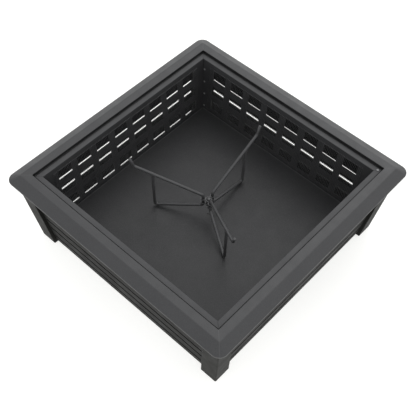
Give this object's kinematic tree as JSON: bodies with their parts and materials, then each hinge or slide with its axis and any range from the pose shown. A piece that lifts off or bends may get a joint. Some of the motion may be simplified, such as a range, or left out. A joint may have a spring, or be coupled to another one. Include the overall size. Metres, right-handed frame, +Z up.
{
  "type": "fire pit with grate",
  "caption": "Low square steel fire pit with a sloped rim, slotted sides, windowed bowl walls and a lift-out log grate whose wings swing.",
  "frame": {"origin": "on the ground, below the centre of the bowl", "axes": "+Z up; -Y is the front side, +X the right side"},
  "size_m": [0.762, 0.762, 0.2677],
  "materials": {
    "charcoal_powder_coat": "satin charcoal powder coat with a fine texture",
    "matt_bowl_coat": "matt black heat-resistant coat",
    "bowl_floor_coat": "matt dark grey heat-resistant coat",
    "blackened_wire": "fine woven steel wire, blackened",
    "fixing_steel": "dark coated steel fixing",
    "grate_rod_coat": "satin dark coated round steel rod",
    "plated_steel": "dull plated steel"
  },
  "bodies": {
    "pit": {"rim_frame": "charcoal_powder_coat", "leg_front_right": "charcoal_powder_coat", "leg_back_right": "charcoal_powder_coat", "leg_back_left": "charcoal_powder_coat", "leg_front_left": "charcoal_powder_coat", "side_panel_front": "charcoal_powder_coat", "side_panel_right": "charcoal_powder_coat", "side_panel_back": "charcoal_powder_coat", "side_panel_left": "charcoal_powder_coat", "bowl_wall_front": "matt_bowl_coat", "bowl_wall_right": "matt_bowl_coat", "bowl_wall_back": "matt_bowl_coat", "bowl_wall_left": "matt_bowl_coat", "screen_front": "blackened_wire", "screen_right": "blackened_wire", "screen_back": "blackened_wire", "screen_left": "blackened_wire", "bowl_floor": "bowl_floor_coat", "seam_rivet_front_1": "fixing_steel", "seam_rivet_front_2": "fixing_steel", "seam_rivet_front_3": "fixing_steel", "seam_rivet_front_4": "fixing_steel", "seam_rivet_right_1": "fixing_steel", "seam_rivet_right_2": "fixing_steel", "seam_rivet_right_3": "fixing_steel", "seam_rivet_right_4": "fixing_steel", "seam_rivet_back_1": "fixing_steel", "seam_rivet_back_2": "fixing_steel", "seam_rivet_back_3": "fixing_steel", "seam_rivet_back_4": "fixing_steel", "seam_rivet_left_1": "fixing_steel", "seam_rivet_left_2": "fixing_steel", "seam_rivet_left_3": "fixing_steel", "seam_rivet_left_4": "fixing_steel", "ledge_screw_back_right": "fixing_steel"},
    "grate_hub": {"hub_top_plate": "grate_rod_coat", "hub_low_plate": "grate_rod_coat", "hub_spacer": "grate_rod_coat", "hub_pin": "plated_steel", "hub_nut": "plated_steel"},
    "left_wing": {"wing_left": "grate_rod_coat"},
    "back_wing": {"wing_back": "grate_rod_coat"},
    "right_wing": {"wing_right": "grate_rod_coat"}
  },
  "joints": [
    {"name": "grate_lift", "type": "slide", "parent": "pit", "child": "grate_hub", "axis": [0, 0, 1], "range_m": [0, 0.25]},
    {"name": "wing_left_swing", "type": "hinge", "parent": "grate_hub", "child": "left_wing", "pos_m": [-0.01371, -0.00824, 0.12], "axis": [0, 0, 1], "range_deg": [-108, 0]},
    {"name": "wing_back_swing", "type": "hinge", "parent": "grate_hub", "child": "back_wing", "pos_m": [-0.00084, 0.01598, 0.12], "axis": [0, 0, 1], "range_deg": [-10, 10]},
    {"name": "wing_right_swing", "type": "hinge", "parent": "grate_hub", "child": "right_wing", "pos_m": [0.01371, -0.00824, 0.12], "axis": [0, 0, 1], "range_deg": [0, 108]}
  ]
}
